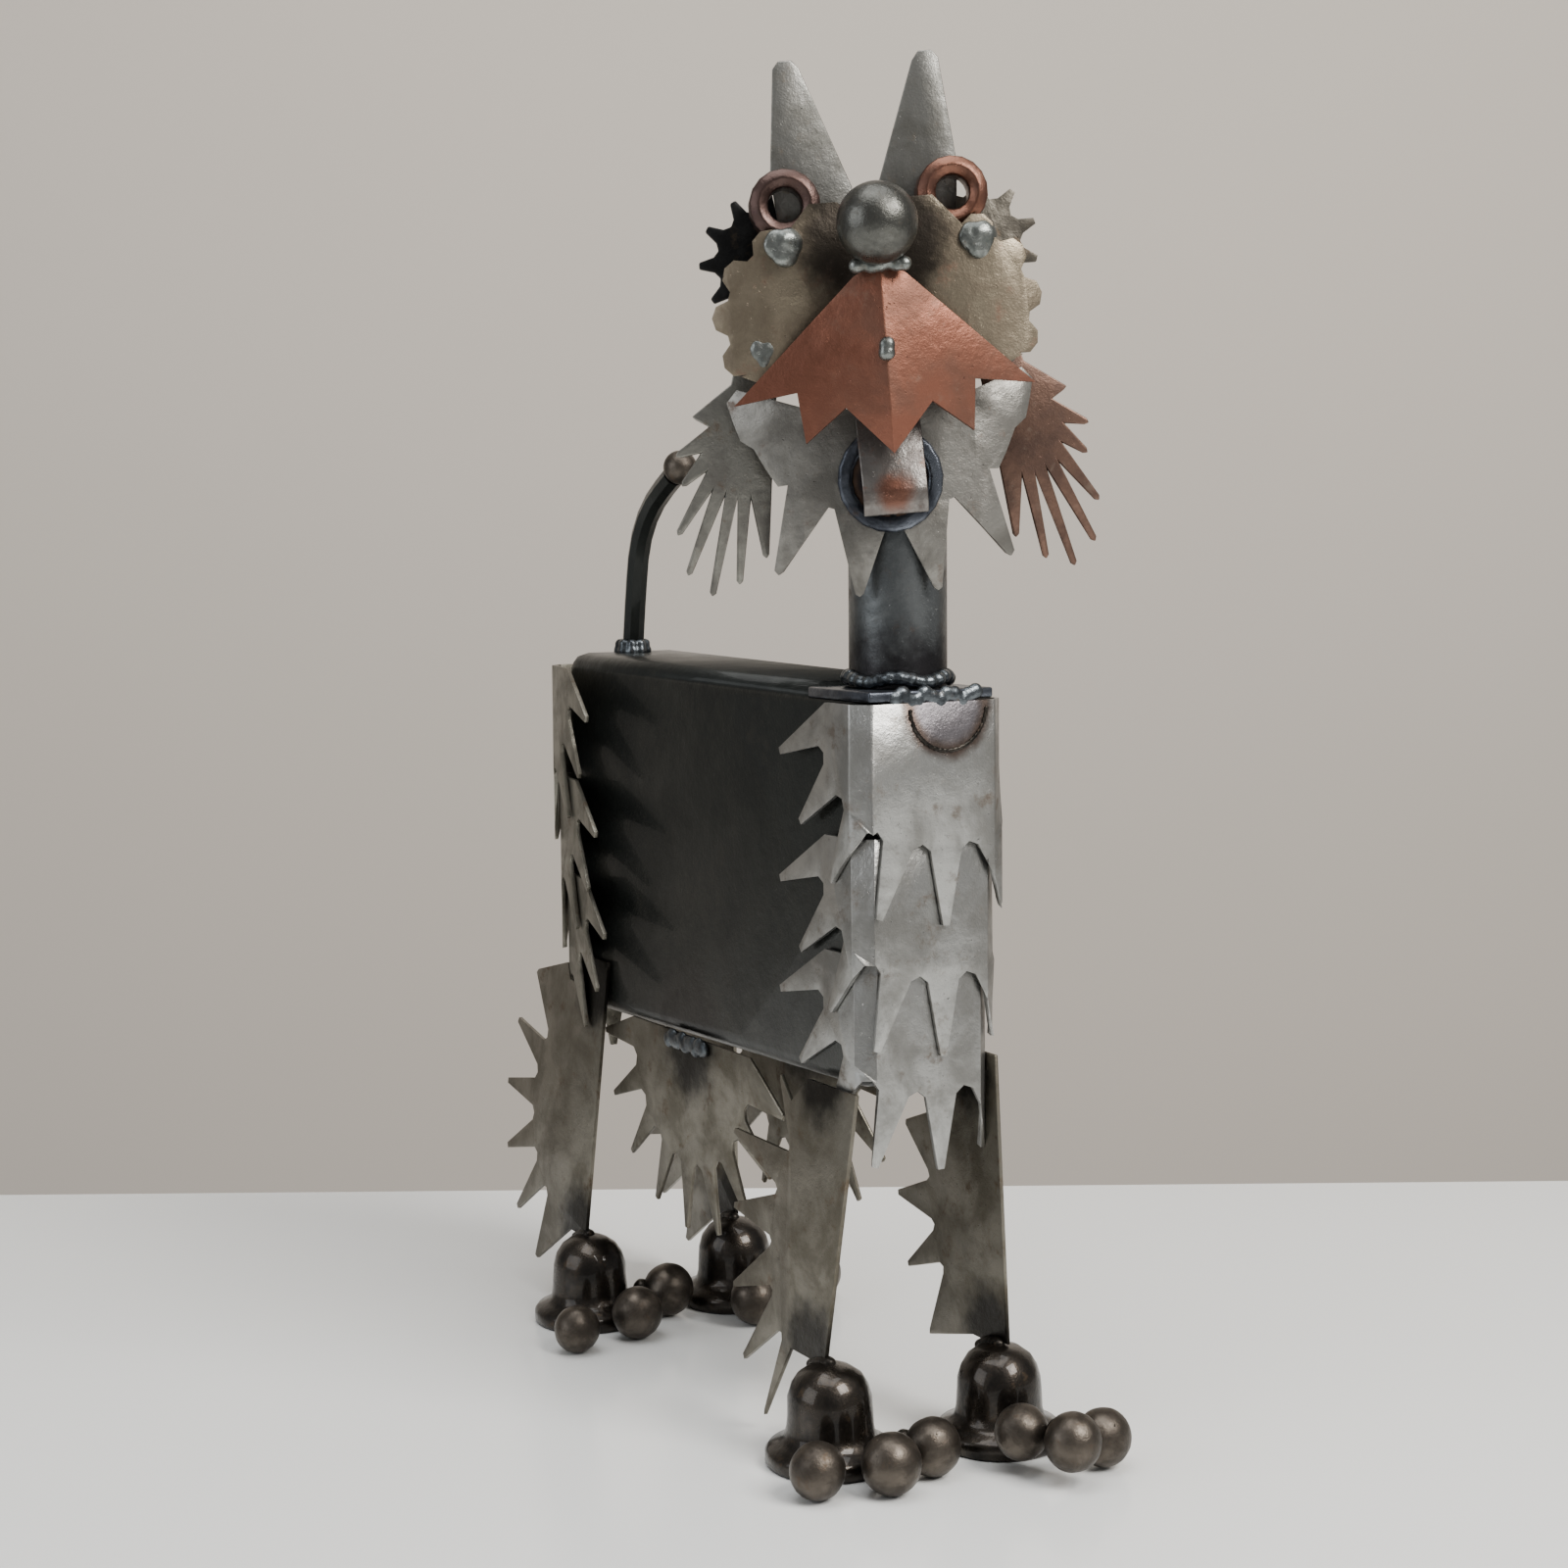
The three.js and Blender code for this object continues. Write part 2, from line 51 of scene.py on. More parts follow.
base = Vector(((body_low.x + body_high.x) / 2, body_low.y - CHEST_FRONT_GAP, 0))


def place(x, y, z):
    """A point of the dog given in millimetres from the chest front on the floor."""
    return base + Vector((x, y, z)) * MM


CAMERA_AT = (-410.5, -623.6, 281.5)
CAMERA_YAW = 0.522
CAMERA_DOWN = 0.101
CAMERA_ROLL = -0.009
camera_data = bpy.data.cameras.new("camera")
camera_data.sensor_width = 36
camera_data.lens = 57.67
camera = bpy.data.objects.new("camera", camera_data)
camera.matrix_world = (
    Matrix.Translation(place(*CAMERA_AT))
    @ Matrix.Rotation(-CAMERA_YAW, 4, "Z")
    @ Matrix.Rotation(math.pi / 2 - CAMERA_DOWN, 4, "X")
    @ Matrix.Rotation(CAMERA_ROLL, 4, "Z")
)
bpy.context.scene.collection.objects.link(camera)
bpy.context.scene.camera = camera
ahead = Vector((math.sin(CAMERA_YAW), math.cos(CAMERA_YAW), 0))
aside = Vector((math.cos(CAMERA_YAW), -math.sin(CAMERA_YAW), 0))


# ---- Body ----
# A narrow box welded from plate steel, blackened and oiled, with its long edges ground round.
# The collar plate under the neck is welded flat on its top at the front.

# A Value is one output of a node; sums and products of Values become Math nodes.
class Value:
    def __init__(self, tree, socket):
        self.tree = tree
        self.socket = socket

    def math(self, operation, other, swap=False):
        node = self.tree.nodes.new("ShaderNodeMath")
        node.operation = operation
        terms = (other, self) if swap else (self, other)
        for socket, term in zip(node.inputs, terms):
            connect(self.tree, socket, term)
        return Value(self.tree, node.outputs[0])

    def __add__(self, other):
        return self.math("ADD", other)

    def __sub__(self, other):
        return self.math("SUBTRACT", other)

    def __rsub__(self, other):
        return self.math("SUBTRACT", other, swap=True)

    def __mul__(self, other):
        return self.math("MULTIPLY", other)

    __radd__ = __add__
    __rmul__ = __mul__


def connect(tree, socket, term):
    if isinstance(term, Value):
        tree.links.new(term.socket, socket)
    else:
        socket.default_value = term


class Finish:
    """A metal finish: its shader, and the nodes that feed it from the place on the dog."""

    def __init__(self, name, metallic, coat=0.0):
        self.material = bpy.data.materials.new(name)
        self.material.use_nodes = True
        self.tree = self.material.node_tree
        self.shader = self.tree.nodes["Principled BSDF"]
        self.shader.inputs["Metallic"].default_value = metallic
        self.shader.inputs["Coat Weight"].default_value = coat
        self.spot = self.node("ShaderNodeTexCoord", {}, {}, "Object")

    def node(self, kind, settings, inputs, output=0):
        node = self.tree.nodes.new(kind)
        for key, value in settings.items():
            setattr(node, key, value)
        for key, term in inputs.items():
            connect(self.tree, node.inputs[key], term)
        return Value(self.tree, node.outputs[output])

    def cloud(self, size, detail=4.0, rough=0.6, distortion=0.0):
        """Soft noise whose blotches are about `size` millimetres across."""
        settings = {"noise_dimensions": "3D"}
        terms = {
            "Vector": self.spot, "Scale": 1 / (size * MM), "Detail": detail,
            "Roughness": rough, "Distortion": distortion,
        }
        return self.node("ShaderNodeTexNoise", settings, terms)

    def step(self, value, low, high):
        """0 below low, 1 above high, and smooth between them."""
        terms = {"Value": value, "From Min": low, "From Max": high}
        return self.node("ShaderNodeMapRange", {"interpolation_type": "SMOOTHSTEP"}, terms)

    def mix(self, factor, a, b):
        node = self.tree.nodes.new("ShaderNodeMix")
        node.data_type = "RGBA"
        connect(self.tree, node.inputs[0], factor)
        for socket, term in ((node.inputs[6], a), (node.inputs[7], b)):
            connect(self.tree, socket, term if isinstance(term, Value) else (*term, 1))
        return Value(self.tree, node.outputs[2])

    def away(self, point):
        """Distance from a point of the dog, in metres."""
        node = self.tree.nodes.new("ShaderNodeVectorMath")
        node.operation = "DISTANCE"
        connect(self.tree, node.inputs[0], self.spot)
        node.inputs[1].default_value = point
        return Value(self.tree, node.outputs["Value"])

    def finish(self, colour, roughness, relief, depth):
        connect(self.tree, self.shader.inputs["Base Color"], colour)
        connect(self.tree, self.shader.inputs["Roughness"], roughness)
        bump = self.node("ShaderNodeBump", {}, {"Height": relief, "Distance": depth * MM, "Strength": 1.0})
        connect(self.tree, self.shader.inputs["Normal"], bump)
        return self.material


FILM = 0.6
STAIN_SHARE = 0.75
PIT_SHARE = 0.6
PIT_SHADE = 0.3
BURN_AND_SHADE_SHARE = 0.9
RELIEF_DEPTH = 0.45


def dull(colour):
    """The colour as it shows through the film of oil and soot that covers the whole dog."""
    return tuple(FILM * part for part in colour)


def worn(name, light, dark, stain, rough, blotch=14, coat=0.0, metallic=0.92, pits=1.0, burns_and_shade=()):
    """Scrap metal: cloudy patches of two shades, stained spots, pits, and burns round the welds; a burn
    entry also paints shade, as on the snout's left half.
    """
    finish = Finish(name, metallic, coat)
    light, dark, stain = dull(light), dull(dark), dull(stain)
    patches = finish.step(finish.cloud(blotch, 5, 0.62, 0.4), 0.36, 0.66)
    stains = finish.step(finish.cloud(blotch * 0.55, 6, 0.7), 0.56, 0.72)
    pocks = finish.step(finish.cloud(1.5, 3, 0.7), 0.66, 0.78) * pits
    grain = finish.cloud(0.5, 2, 0.5)
    colour = finish.mix(patches, light, dark)
    colour = finish.mix(stains * STAIN_SHARE, colour, stain)
    colour = finish.mix(pocks * PIT_SHARE, colour, tuple(PIT_SHADE * part for part in dark))
    # Each entry darkens a round patch towards its tint: round the welds it is a burn, on the snout's left
    # half it is painted shade.
    for point, inner, outer, tint in burns_and_shade:
        edge = finish.away(point) + (finish.cloud(6) - 0.5) * (outer - inner) * MM
        burn_and_shade = 1 - finish.step(edge, inner * MM, outer * MM)
        colour = finish.mix(burn_and_shade * BURN_AND_SHADE_SHARE, colour, dull(tint))
    roughness = rough + patches * 0.12 + stains * 0.16 + grain * 0.06
    relief = finish.cloud(7, 5, 0.6) * 0.8 - pocks * 0.5 + grain * 0.12
    return finish.finish(colour, roughness, relief, RELIEF_DEPTH)


def piece(name, mesh_data, material, nodes=()):
    """Makes a finished object of a bmesh, and has it stand for the named CAD nodes."""
    mesh = bpy.data.meshes.new(name)
    mesh_data.to_mesh(mesh)
    mesh_data.free()
    made = bpy.data.objects.new(name, mesh)
    bpy.context.scene.collection.objects.link(made)
    mesh.materials.append(material)
    mesh.shade_smooth()
    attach(made, "root")
    if nodes:
        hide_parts(*nodes)
    return made


FOLD_LEAST = math.radians(12)
COPLANAR = math.radians(0.6)
SAME_PLACE = 2e-5


def merged_copy(node):
    """The CAD solid as one clean mesh, its flat faces whole again."""
    copy = bmesh.new()
    copy.from_mesh(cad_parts[node].data)
    bmesh.ops.remove_doubles(copy, verts=copy.verts, dist=SAME_PLACE)
    bmesh.ops.dissolve_limit(copy, angle_limit=COPLANAR, verts=copy.verts, edges=copy.edges)
    return copy


def sharp_edges(solid, least=FOLD_LEAST):
    return [edge for edge in solid.edges if edge.is_manifold and edge.calc_face_angle(0) > least]


def rounded(solid, edges, width, segments):
    bmesh.ops.bevel(
        solid, geom=edges, offset=width * MM, offset_type="OFFSET", segments=segments,
        profile=0.5, affect="EDGES", clamp_overlap=True, material=-1,
    )


SMOOTH_BELOW = math.radians(40)
FOLD_MOST = math.radians(60)
FOLD_SHORTEST = 4 * MM
RIM_LEAST = math.radians(48)


def plate(node, material, edge=0.32, fold=0.0):
    """A sheet piece with its cut edges broken, and its folds rolled round."""
    sheet = merged_copy(node)
    if fold:
        folds = [
            e for e in sharp_edges(sheet)
            if e.calc_face_angle(0) < FOLD_MOST and e.calc_length() > FOLD_SHORTEST
        ]
        rounded(sheet, folds, fold, 4)
    rims = sharp_edges(sheet, RIM_LEAST)
    rounded(sheet, rims, edge, 2)
    made = piece(node + "_worn", sheet, material, (node,))
    made.data.set_sharp_from_angle(angle=SMOOTH_BELOW)
    return made


BLACKENED = (0.016, 0.019, 0.017)
OILED = (0.034, 0.038, 0.034)
body_finish = worn(
    "blackened_steel", OILED, BLACKENED, (0.042, 0.040, 0.032), 0.30, blotch=42, coat=0.15, metallic=0.7,
    pits=0.3, burns_and_shade=((place(-22, 118, 112), 14, 30, (0.012, 0.011, 0.010)),),
)
body = merged_copy("body_box")
box = piece("body_box_worn", body, body_finish, ("body_box",))
box.data.set_sharp_from_angle(angle=SMOOTH_BELOW)
collar_finish = worn("heat_blued_steel", (0.20, 0.22, 0.26), (0.05, 0.055, 0.07), (0.10, 0.07, 0.05), 0.24)
plate("neck_collar", collar_finish, 0.6)

# ---- Saddle plates ----
# Half tooth wheels of steel plate bent round the chest and the rump, three deep at each end. The chest
# is bright, and its top plate has a burnt ring and a puddle of weld under the neck.
SILVER = (0.60, 0.60, 0.58)
GREY = (0.34, 0.335, 0.315)
RUSTED = (0.20, 0.15, 0.11)
RING_X = 5
RING_Z = 229
heat_ring = place(RING_X, 0, RING_Z)
chest_finish = worn("bright_plate", SILVER, GREY, RUSTED, 0.28, blotch=17)
ringed_finish = worn(
    "bright_plate_burnt", SILVER, GREY, RUSTED, 0.28, blotch=17,
    burns_and_shade=((heat_ring, 14, 18, (0.13, 0.085, 0.065)), (heat_ring, 9, 13, (0.33, 0.31, 0.33))),
)
rump_finish = worn("brown_plate", (0.40, 0.38, 0.32), (0.21, 0.195, 0.16), (0.18, 0.12, 0.075), 0.36)
chest_finishes = {"upper": ringed_finish, "middle": chest_finish, "lower": chest_finish}
SADDLE_ROLL = 1.3
for tier in ("upper", "middle", "lower"):
    plate("chest_plate_" + tier, chest_finishes[tier], fold=SADDLE_ROLL)
    plate("rump_plate_" + tier, rump_finish, fold=SADDLE_ROLL)

WELD_GRAIN = 0.45 * MM


def weld(name, spots, material, seed=1, squash=(1, 1, 1)):
    """Weld metal laid as lumps that run together: each spot is a place and a radius in millimetres."""
    draw = random.Random(seed)
    metal = bmesh.new()
    for x, y, z, radius in spots:
        turn = Matrix.Rotation(draw.uniform(0, math.tau), 4, (draw.random(), draw.random(), 1))
        stretch = Matrix.Diagonal((*[part * radius * MM for part in squash], 1))
        lump = bmesh.ops.create_icosphere(metal, subdivisions=3, radius=1, matrix=turn)["verts"]
        offset = Vector((draw.uniform(0, 9), draw.uniform(0, 9), draw.uniform(0, 9)))
        for vert in lump:
            vert.co *= 1 + 0.10 * noise.noise(vert.co * 1.6 + offset)
        bmesh.ops.transform(metal, matrix=Matrix.Translation(place(x, y, z)) @ stretch, verts=lump)
    made = piece(name, metal, material)
    fused = made.modifiers.new("fused", "REMESH")
    fused.mode = "VOXEL"
    fused.voxel_size = WELD_GRAIN
    fused.use_smooth_shade = True
    settled = made.modifiers.new("settled", "SMOOTH")
    settled.factor = 0.6
    settled.iterations = 8
    return made


weld_finish = worn(
    "weld_metal", (0.20, 0.225, 0.245), (0.055, 0.062, 0.07), (0.12, 0.095, 0.075), 0.24, blotch=5,
)
scorched_weld = worn(
    "scorched_weld", (0.075, 0.066, 0.056), (0.02, 0.018, 0.016), (0.11, 0.075, 0.05), 0.3, blotch=5,
)
RING_RADIUS = 13.7
RING_BEADS = 22
ring_turns = [math.radians(-84 + 8 * i) for i in range(RING_BEADS)]
ring_beads = [
    (RING_X + RING_RADIUS * math.sin(turn), -0.1, RING_Z - RING_RADIUS * math.cos(turn), 1.0)
    for turn in ring_turns
]
weld("chest_heat_ring", ring_beads, scorched_weld, 2, (1, 0.7, 1))
PUDDLE_START = -13
PUDDLE_STEP = 2.6
PUDDLE_HEIGHT = 231.5
PUDDLE_LUMPS = 12
puddle = [
    (PUDDLE_START + PUDDLE_STEP * i, 1.4, PUDDLE_HEIGHT + 1.3 * math.sin(i * 1.9), 2.6)
    for i in range(PUDDLE_LUMPS)
]
weld("chest_weld_puddle", puddle, weld_finish, 3, (1.1, 0.7, 1))

# ---- Legs and belly fringe ----
# Slices of tooth wheel, browned by heat, welded to the sides of the box and to the feet. Each end of
# a leg, and the middle of each fringe, is burnt black where it was welded.
BROWNED = (0.34, 0.315, 0.26)
SCALE = (0.19, 0.17, 0.13)
BURNT = (0.014, 0.012, 0.011)
LEG_BURNS = {
    "front_right": ((-24, 25, 115), (-32, 20, 32)),
    "front_left": ((24, 20, 115), (23, 4, 32)),
    "rear_right": ((-24, 184, 118), (-33, 182, 32)),
    "rear_left": ((24, 177, 118), (22, 175, 32)),
}
for name, ends in LEG_BURNS.items():
    burns_and_shade = tuple((place(*end), 8, 20, BURNT) for end in ends)
    finish = worn("browned_plate_" + name, BROWNED, SCALE, (0.17, 0.11, 0.06), 0.33, blotch=20, burns_and_shade=burns_and_shade)
    plate("leg_" + name, finish, 0.38)
BELLY_START = 106
BELLY_STEP = 2.4
BELLY_HEIGHT = 109
BELLY_BEADS = 11
for side, x in (("right", -22), ("left", 22)):
    burns_and_shade = ((place(x, 118, 108), 10, 24, BURNT),)
    finish = worn(
        "browned_fringe_" + side, BROWNED, SCALE, (0.16, 0.10, 0.055), 0.34, blotch=18, burns_and_shade=burns_and_shade,
    )
    plate("belly_fan_" + side, finish, 0.38)
    beads = [
        (x * 1.05, BELLY_START + BELLY_STEP * i, BELLY_HEIGHT + 0.8 * math.sin(i * 2.3), 3.0)
        for i in range(BELLY_BEADS)
    ]
    weld("belly_weld_" + side, beads, weld_finish, 5, (0.55, 1.1, 1))

# ---- Feet ----
# Cast bell caps, each with three ball toes tacked on in front. They are dark, with old varnish thick
# on the bells.
CAST = (0.075, 0.062, 0.050)
CAST_DARK = (0.026, 0.022, 0.019)
cast_finish = worn(
    "varnished_iron", CAST, CAST_DARK, (0.11, 0.075, 0.045), 0.24, blotch=9, coat=0.35, pits=0.5,
)
ball_finish = worn(
    "browned_ball", (0.17, 0.145, 0.12), (0.085, 0.072, 0.06), (0.16, 0.115, 0.08), 0.33, blotch=8,
)
# Radius and height of a bell's wall, in shares of its rim radius and of its height, from the rim up.
BELL_WALL = (
    (0.0, 0.0), (0.97, 0.0), (1.0, 0.03), (1.0, 0.13), (0.95, 0.175), (0.80, 0.215), (0.71, 0.28),
    (0.68, 0.36), (0.67, 0.5), (0.655, 0.66), (0.60, 0.78), (0.50, 0.88), (0.34, 0.955), (0.16, 0.99),
    (0.0, 1.0),
)
BELL_STEPS = 72
LUMP_SIZE = 8 * MM
LUMP_DEPTH = 0.55 * MM
RIM_TOP = 7 * MM
LUMPS_AROUND = 12 * MM
BELL_CLEARANCE = 0.2 * MM


def middle(node):
    low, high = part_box(node)
    return (low + high) / 2


def bell_cap(node):
    low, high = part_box(node)
    centre = middle(node)
    radius = (high.x - low.x) / 2 - BELL_CLEARANCE
    cap = bmesh.new()
    wall = [cap.verts.new((share * radius, 0, rise * (high.z - low.z))) for share, rise in BELL_WALL]
    edges = [cap.edges.new(pair) for pair in zip(wall, wall[1:])]
    bmesh.ops.spin(
        cap, geom=wall + edges, cent=(0, 0, 0), axis=(0, 0, 1), angle=math.tau,
        steps=BELL_STEPS, use_merge=True,
    )
    bmesh.ops.remove_doubles(cap, verts=cap.verts, dist=SAME_PLACE)
    bmesh.ops.recalc_face_normals(cap, faces=cap.faces)
    bmesh.ops.translate(cap, verts=cap.verts, vec=(centre.x, centre.y, low.z))
    for vert in cap.verts:
        if vert.co.z > low.z + RIM_TOP:
            outward = (vert.co - Vector((centre.x, centre.y, low.z + LUMPS_AROUND))).normalized()
            vert.co -= outward * LUMP_DEPTH * abs(noise.noise(vert.co / LUMP_SIZE))
    return piece(node + "_cast", cap, cast_finish, (node,))


DENT_SIZE = 5 * MM


def smooth_ball(node, material, dents=0.0):
    low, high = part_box(node)
    ball = bmesh.new()
    bmesh.ops.create_uvsphere(ball, u_segments=40, v_segments=24, radius=1)
    stretch = Matrix.Diagonal((*((high - low) / 2), 1))
    bmesh.ops.transform(ball, matrix=Matrix.Translation(middle(node)) @ stretch, verts=ball.verts)
    for vert in ball.verts:
        vert.co += (middle(node) - vert.co) * dents * abs(noise.noise(vert.co / DENT_SIZE))
    return piece(node + "_round", ball, material, (node,))


for name in LEG_BURNS:
    bell_cap("foot_bell_" + name)
    axis = middle("foot_bell_" + name)
    stubs = []
    for toe in ("1", "2", "3"):
        node = "toe_ball_" + name + "_" + toe
        smooth_ball(node, ball_finish, 0.03)
        centre = middle(node)
        low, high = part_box(node)
        reach = Vector((axis.x - centre.x, axis.y - centre.y, 0)).normalized()
        at = (centre + reach * (high.z - low.z) / 2 - base) / MM
        stubs += [(at.x, at.y, at.z + 1, 3.2), (at.x + 1.2, at.y + 1, at.z - 2, 2.6)]
    weld("toe_welds_" + name, stubs, scorched_weld, 11)
    heel = (axis - base) / MM
    seam = [(heel.x, heel.y + 0.5 + 1.8 * i, 30.6 - 0.12 * i * i, 2.4) for i in range(6)]
    weld("ankle_weld_" + name, seam, scorched_weld, 13, (1, 1, 0.8))

# ---- Neck and tail ----
# A length of blued pipe stands on the collar, and the tail is a bent rod with a ball at its tip. Each
# is held by one run of weld round its foot.
neck_finish = worn(
    "blued_pipe", (0.24, 0.255, 0.26), (0.13, 0.14, 0.145), (0.13, 0.10, 0.08), 0.27, blotch=16,
    burns_and_shade=((place(0, 20, 236), 14, 26, (0.022, 0.019, 0.022)),),
)
pipe = merged_copy("neck_tube")
neck = piece("neck_tube_pipe", pipe, neck_finish, ("neck_tube",))
neck.data.set_sharp_from_angle(angle=SMOOTH_BELOW)
PIPE_RADIUS = 15
PIPE_Y = 20
PIPE_FOOT = 236.5
NECK_BEADS = 30
neck_turns = [math.tau * i / NECK_BEADS for i in range(NECK_BEADS)]
neck_beads = [
    (
        PIPE_RADIUS * math.cos(turn), PIPE_Y + PIPE_RADIUS * math.sin(turn),
        PIPE_FOOT + 0.8 * math.sin(5 * turn), 2.7,
    )
    for turn in neck_turns
]
weld("neck_weld", neck_beads, weld_finish, 17, (1, 1, 0.85))
rod = merged_copy("tail_rod")
tail = piece("tail_rod_bent", rod, body_finish, ("tail_rod",))
tail.data.set_sharp_from_angle(angle=SMOOTH_BELOW)
smooth_ball("tail_ball", ball_finish)
TAIL_RADIUS = 4.6
TAIL_Y = 200
TAIL_FOOT = 238
TAIL_BEADS = 9
tail_turns = [math.tau * i / TAIL_BEADS for i in range(TAIL_BEADS)]
tail_beads = [
    (
        TAIL_RADIUS * math.cos(turn), TAIL_Y + TAIL_RADIUS * math.sin(turn),
        TAIL_FOOT + rise, 2.4 - 0.2 * rise,
    )
    for rise in (0, 2.5)
    for turn in tail_turns
]
weld("tail_weld", tail_beads, weld_finish, 19)

# ---- Head ----
# Gears, washers and folded sheet welded in front of the pipe. Every piece keeps the colour that the torch
# gave it, and the left half of the snout also has painted shade, a darker copper laid over it.
HEAD_TURN = math.radians(-27)
HEAD_ROLL = math.radians(-4.3)
HEAD_SHIFT = -3
HEAD_HEIGHT = 288
head_pivot = place(
    HEAD_SHIFT * math.cos(HEAD_TURN), PIPE_Y + HEAD_SHIFT * math.sin(HEAD_TURN), HEAD_HEIGHT,
)
head_frame = (
    Matrix.Translation(head_pivot) @ Matrix.Rotation(HEAD_TURN, 4, "Z") @ Matrix.Rotation(HEAD_ROLL, 4, "Y")
)


def on_face(x, forward, z):
    """A place on the face, in millimetres from the head's pivot."""
    return head_frame @ Vector((x * MM, -forward * MM, z * MM))


def face_spots(spots):
    return [(*((on_face(x, forward, z) - base) / MM), radius) for x, forward, z, radius in spots]


COPPER = (0.40, 0.165, 0.11)
PLUM = (0.12, 0.075, 0.065)
BRONZE = (0.42, 0.355, 0.26)
# The snout's left half is painted darker copper as shade, through its burn entry.
snout_finish = worn(
    "torched_copper_with_painted_shade", COPPER, (0.25, 0.12, 0.085), (0.33, 0.20, 0.15), 0.36, blotch=16,
    burns_and_shade=((on_face(-34, 12, 40), 18, 44, (0.22, 0.09, 0.06)),),
)
plate("snout_plate", snout_finish, 0.35, fold=0.6)
cheek_burn = on_face(0, 24, 78)
cheek_finish = worn(
    "torched_bronze_tone", BRONZE, (0.25, 0.205, 0.15), (0.26, 0.155, 0.11), 0.32, blotch=14,
    burns_and_shade=((cheek_burn, 16, 27, (0.03, 0.025, 0.022)),),
)
ear_finish = worn(
    "mottled_grey", (0.36, 0.355, 0.33), (0.21, 0.205, 0.185), (0.20, 0.16, 0.12), 0.34, blotch=12,
)
eye_finish = {
    "right": worn("plum_washer", (0.13, 0.085, 0.075), PLUM, (0.12, 0.075, 0.085), 0.28, blotch=7),
    "left": worn(
        "copper_washer", (0.30, 0.14, 0.095), (0.16, 0.08, 0.06), (0.22, 0.14, 0.10), 0.28, blotch=7,
    ),
}
sprocket_finish = {
    "right": worn("black_sprocket", (0.05, 0.05, 0.05), (0.018, 0.018, 0.018), (0.08, 0.06, 0.04), 0.34),
    "left": worn("grey_sprocket", (0.22, 0.20, 0.165), (0.10, 0.09, 0.075), (0.15, 0.10, 0.06), 0.34),
}
fan_finish = {
    "right": worn("grey_fan", (0.38, 0.37, 0.33), (0.22, 0.21, 0.19), (0.19, 0.14, 0.10), 0.32, blotch=10),
    "left": worn(
        "russet_fan", (0.30, 0.18, 0.135), (0.16, 0.10, 0.08), (0.25, 0.19, 0.15), 0.32, blotch=10,
    ),
}
for side in ("right", "left"):
    plate("cheek_plate_" + side, cheek_finish, 0.45)
    plate("cheek_fan_" + side, fan_finish[side], 0.4)
    plate("ear_" + side, ear_finish, 0.38)
    plate("cheek_sprocket_" + side, sprocket_finish[side], 0.4)
    plate("eye_ring_" + side, eye_finish[side], 0.55)
mouth = on_face(0, 17, 8)
beard_finish = worn(
    "mottled_beard", (0.42, 0.405, 0.37), (0.22, 0.21, 0.19), (0.19, 0.13, 0.10), 0.33, blotch=13,
    burns_and_shade=((mouth, 11, 14, (0.16, 0.09, 0.06)), (mouth, 8, 11, (0.035, 0.04, 0.05))),
)
plate("beard_plate", beard_finish, 0.38)
plate("mouth_ring", collar_finish, 0.5)
tongue_finish = worn(
    "torched_strip", (0.34, 0.32, 0.30), (0.17, 0.15, 0.14), (0.24, 0.12, 0.08), 0.3, blotch=8,
    burns_and_shade=((on_face(0, 25, 4), 3, 8, (0.24, 0.10, 0.065)),),
)
plate("tongue_strip", tongue_finish, 0.4, fold=0.8)
nose_finish = worn(
    "burnished_nose", (0.17, 0.17, 0.155), (0.11, 0.11, 0.10), (0.12, 0.105, 0.085), 0.24, blotch=6,
)
smooth_ball("nose_ball", nose_finish)
plug_finish = worn(
    "bright_weld", (0.36, 0.38, 0.36), (0.17, 0.185, 0.175), (0.22, 0.18, 0.14), 0.24, blotch=4,
)
PLUGS = {
    "right": ((-26.3, 23.5, 76.8), (-32.8, 19.5, 47.2)),
    "left": ((30.5, 21.5, 74.9), (36.3, 17.5, 44.8)),
}
PLUG_LUMPS = ((0, 0), (1.6, 1), (-1.5, 0.8), (0.3, -1.6))
PLUG_RADIUS = 4.6
for side, places in PLUGS.items():
    spots = [(x + dx, y, z + dz, PLUG_RADIUS) for x, y, z in places for dx, dz in PLUG_LUMPS]
    weld("plug_welds_" + side, face_spots(spots), plug_finish, 23, (1, 0.55, 1))
snout_spots = face_spots([(0, 35.6, 43.7, 2.6), (0.3, 35.7, 46.0, 2.4)])
weld("snout_spot_weld", snout_spots, plug_finish, 29)
nose_beads = face_spots([(-7 + 2.3 * i, 37, 68.5 + 0.5 * math.sin(i * 2), 2.3) for i in range(7)])
weld("nose_weld", nose_beads, plug_finish, 31)

# ---- Floor, backdrop and lights ----
# A pale glossy table top with a plain wall behind it. The key light stands in front and to the right,
# a wide one hangs above, and a weak one fills from the left.
TABLE_BEHIND = 0.311
floor_finish = Finish("pale_table", 0.0)
floor_colour = floor_finish.mix(floor_finish.cloud(400), (0.80, 0.81, 0.80), (0.84, 0.85, 0.84))
floor_material = floor_finish.finish(floor_colour, 0.16, floor_finish.cloud(60), 0.01)
wall_finish = Finish("plain_wall", 0.0)
wall_colour = wall_finish.mix(wall_finish.cloud(600), (0.63, 0.57, 0.50), (0.67, 0.61, 0.54))
wall_material = wall_finish.finish(wall_colour, 0.8, wall_finish.cloud(30), 0.02)


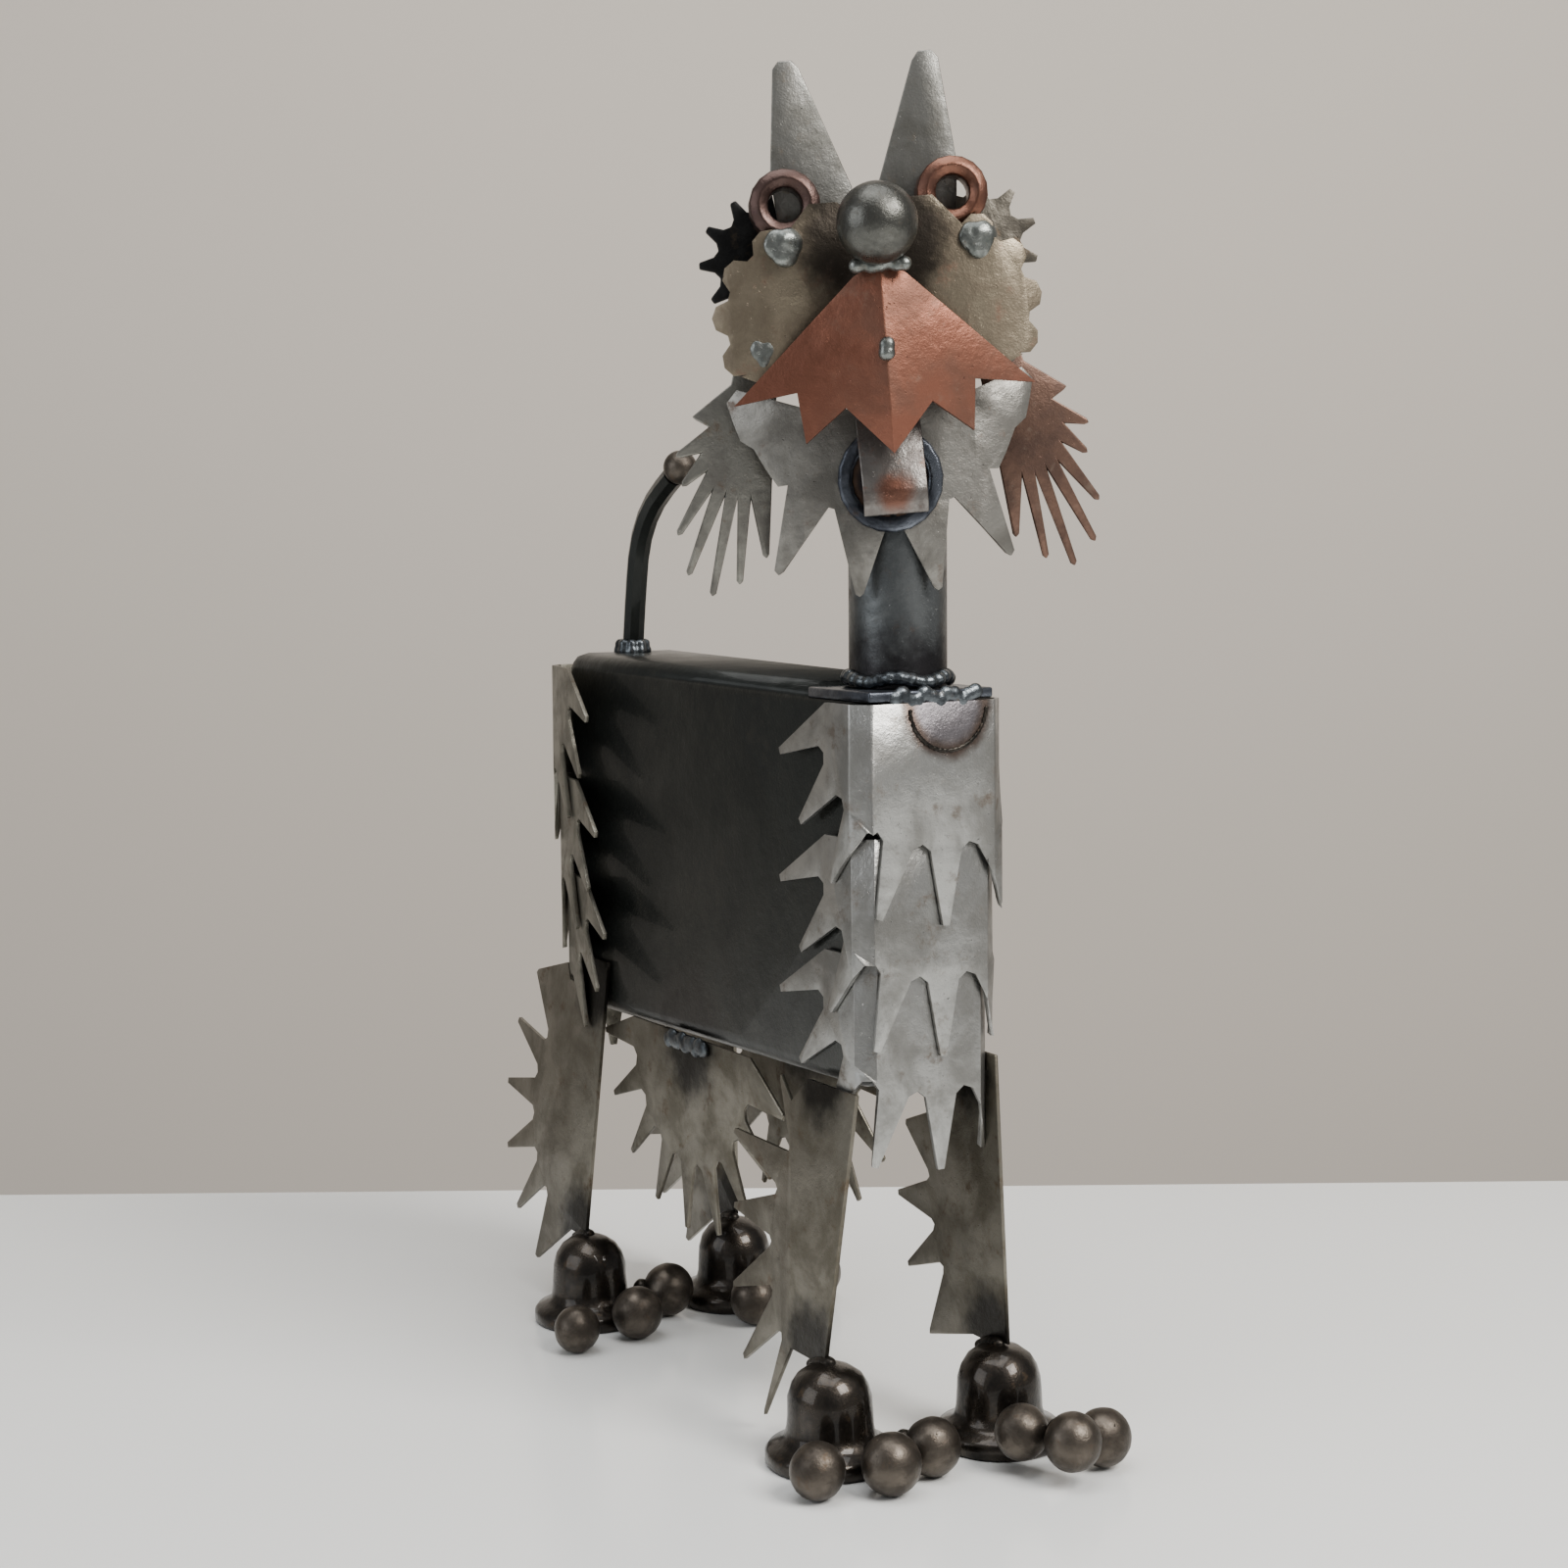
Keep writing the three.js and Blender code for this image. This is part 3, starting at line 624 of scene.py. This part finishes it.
def sheet_of_stage(name, corners, material):
    sheet = bmesh.new()
    sheet.faces.new([sheet.verts.new(corner) for corner in corners])
    mesh = bpy.data.meshes.new(name)
    sheet.to_mesh(mesh)
    sheet.free()
    made = bpy.data.objects.new(name, mesh)
    mesh.materials.append(material)
    bpy.context.scene.collection.objects.link(made)


HALF_TABLE = 2.2
FRONT_TABLE = 2.2
far = base + ahead * TABLE_BEHIND
near = base - ahead * FRONT_TABLE
half_table = aside * HALF_TABLE
table_corners = [near - half_table, near + half_table, far + half_table, far - half_table]
sheet_of_stage("table_top", table_corners, floor_material)
WALL_AWAY = 1.3
WALL_LOW = -1.4
WALL_HIGH = 3.2
HALF_WALL = 3
wall_foot = base + ahead * WALL_AWAY + Vector((0, 0, WALL_LOW))
wall_top = base + ahead * WALL_AWAY + Vector((0, 0, WALL_HIGH))
half_wall = aside * HALF_WALL
wall_corners = [wall_foot - half_wall, wall_foot + half_wall, wall_top + half_wall, wall_top - half_wall]
sheet_of_stage("wall", wall_corners, wall_material)


def soft_light(name, right, toward, up, size, power, tint=(1, 1, 1)):
    """A square soft light, placed from the dog in metres, and aimed at the middle of its body."""
    light = bpy.data.lights.new(name, "AREA")
    light.size = size
    light.energy = power
    light.color = tint
    lamp = bpy.data.objects.new(name, light)
    target = place(0, 90, 200)
    at = target + aside * right - ahead * toward + Vector((0, 0, up))
    lamp.matrix_world = Matrix.Translation(at) @ (target - at).to_track_quat("-Z", "Y").to_matrix().to_4x4()
    bpy.context.scene.collection.objects.link(lamp)


soft_light("key", 0.9, 0.8, 1.0, 0.8, 36, (1, 0.97, 0.93))
soft_light("top", -0.1, 0.2, 1.5, 1.2, 18)
soft_light("fill", -1.3, 0.7, 0.5, 1.0, 7, (0.93, 0.96, 1))
world = bpy.data.worlds.new("studio")
world.use_nodes = True
world.node_tree.nodes["Background"].inputs["Color"].default_value = (0.75, 0.75, 0.75, 1)
world.node_tree.nodes["Background"].inputs["Strength"].default_value = 0.35
bpy.context.scene.world = world
